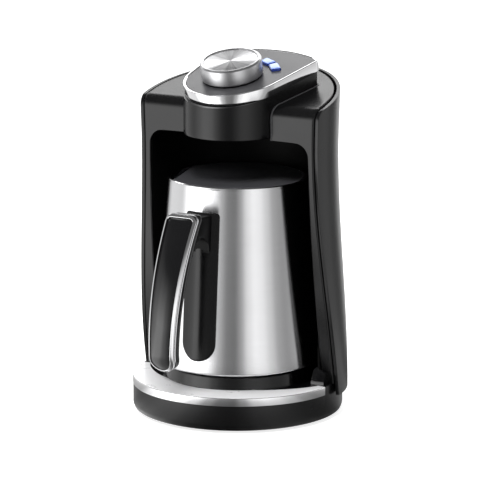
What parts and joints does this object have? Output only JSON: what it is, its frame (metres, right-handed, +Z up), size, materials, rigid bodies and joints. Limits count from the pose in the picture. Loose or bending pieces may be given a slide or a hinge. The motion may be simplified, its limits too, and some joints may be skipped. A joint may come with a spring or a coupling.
{
  "type": "electric turkish coffee maker",
  "caption": "Countertop coffee maker for Turkish coffee: round heating base, hooded bay, tilted control head with a turning knob and keys, and a lift-out lidded steel pot.",
  "frame": {"origin": "centre of the resting plane, under the rubber ring, on the axis of the round base", "axes": "+Z up; the bay, the nose of the head and the pot's handle face -Y; the keys are on the +X side of the knob"},
  "size_m": [0.1548, 0.1834, 0.2525],
  "materials": {
    "foot_rubber": "matt",
    "matte_black": "matt moulded",
    "satin_black": "satin",
    "gloss_black": "glossy",
    "lid_black": "satin",
    "bright_metal": "polished",
    "pot_steel": "brushed around the axis",
    "knob_metal": "turned, with a spun face",
    "panel_grey": "satin metallic",
    "plate_coating": "non-stick coating",
    "heater_steel": "heat-darkened",
    "shield_aluminium": "plain",
    "ceramic": "unglazed",
    "spring_steel": "bright",
    "screw_steel": "bright",
    "screw_black": "blackened",
    "terminal_plastic": "moulded",
    "sensor_window": "dark, clear",
    "part_plastic": "moulded",
    "led_lens": "clear tinted",
    "board_green": "solder mask",
    "relay_blue": "moulded",
    "capacitor_sleeve": "sleeve",
    "wire_insulation": "sleeving",
    "key_blue": "translucent",
    "seal_grey": "silicone"
  },
  "bodies": {
    "machine": {"foot_ring": "foot_rubber", "bottom_cover": "matte_black", "bottom_screws": "screw_steel", "base_bowl": "satin_black", "base_trim": "bright_metal", "base_deck": "gloss_black", "heating_plate": "plate_coating", "heater_coil": "heater_steel", "heat_shield": "shield_aluminium", "sensor_holder": "ceramic", "sensor_spring": "spring_steel", "thermal_fuse": "ceramic", "cord_gland": "foot_rubber", "terminal_block": "terminal_plastic", "front_frame": "satin_black", "bay_liner": "matte_black", "bay_ceiling": "matte_black", "foam_sensor": "sensor_window", "rear_cover": "satin_black", "cover_screws": "screw_black", "head_housing": "satin_black", "plate_trim": "bright_metal", "control_plate": "panel_grey", "knob_collar": "gloss_black", "encoder": "part_plastic", "key_switches": "part_plastic", "indicator_leds": "led_lens", "control_board": "board_green", "buzzer": "part_plastic", "power_board": "board_green", "relay": "relay_blue", "power_capacitor": "capacitor_sleeve", "board_posts": "screw_steel", "wire_harness": "wire_insulation"},
    "sensor": {"sensor_cap": "shield_aluminium"},
    "knob": {"knob_shaft": "screw_steel", "knob_body": "knob_metal", "knob_disc": "knob_metal"},
    "small_cup_key": {"small_cup_key": "key_blue"},
    "large_cup_key": {"large_cup_key": "key_blue"},
    "pot": {"pot_body": "pot_steel", "pot_base": "pot_steel", "handle_strip": "satin_black", "handle_bridge": "satin_black", "handle_core": "satin_black", "handle_trim": "bright_metal", "handle_grip": "gloss_black", "handle_screws": "screw_steel"},
    "lid": {"lid": "lid_black", "lid_seal": "seal_grey"}
  },
  "joints": [
    {"name": "knob_turn", "type": "hinge", "parent": "machine", "child": "knob", "pos_m": [0, -0.0072, 0.2353], "axis": [0, -0.2588, 0.9659], "continuous": true},
    {"name": "small_cup_press", "type": "slide", "parent": "machine", "child": "small_cup_key", "axis": [0, 0.2588, -0.9659], "range_m": [0, 0.0008], "stiffness_N_per_m": 1200},
    {"name": "large_cup_press", "type": "slide", "parent": "machine", "child": "large_cup_key", "axis": [0, 0.2588, -0.9659], "range_m": [0, 0.0008], "stiffness_N_per_m": 1200},
    {"name": "sensor_press", "type": "slide", "parent": "machine", "child": "sensor", "axis": [0, 0, 1], "range_m": [-0.0015, 0], "stiffness_N_per_m": 800, "deforming": ["sensor_spring"]},
    {"name": "pot_slide", "type": "slide", "parent": "machine", "child": "pot", "axis": [0, -1, 0], "range_m": [0, 0.14]},
    {"name": "lid_lift", "type": "slide", "parent": "pot", "child": "lid", "axis": [0, 0, 1], "range_m": [0, 0.025]}
  ]
}
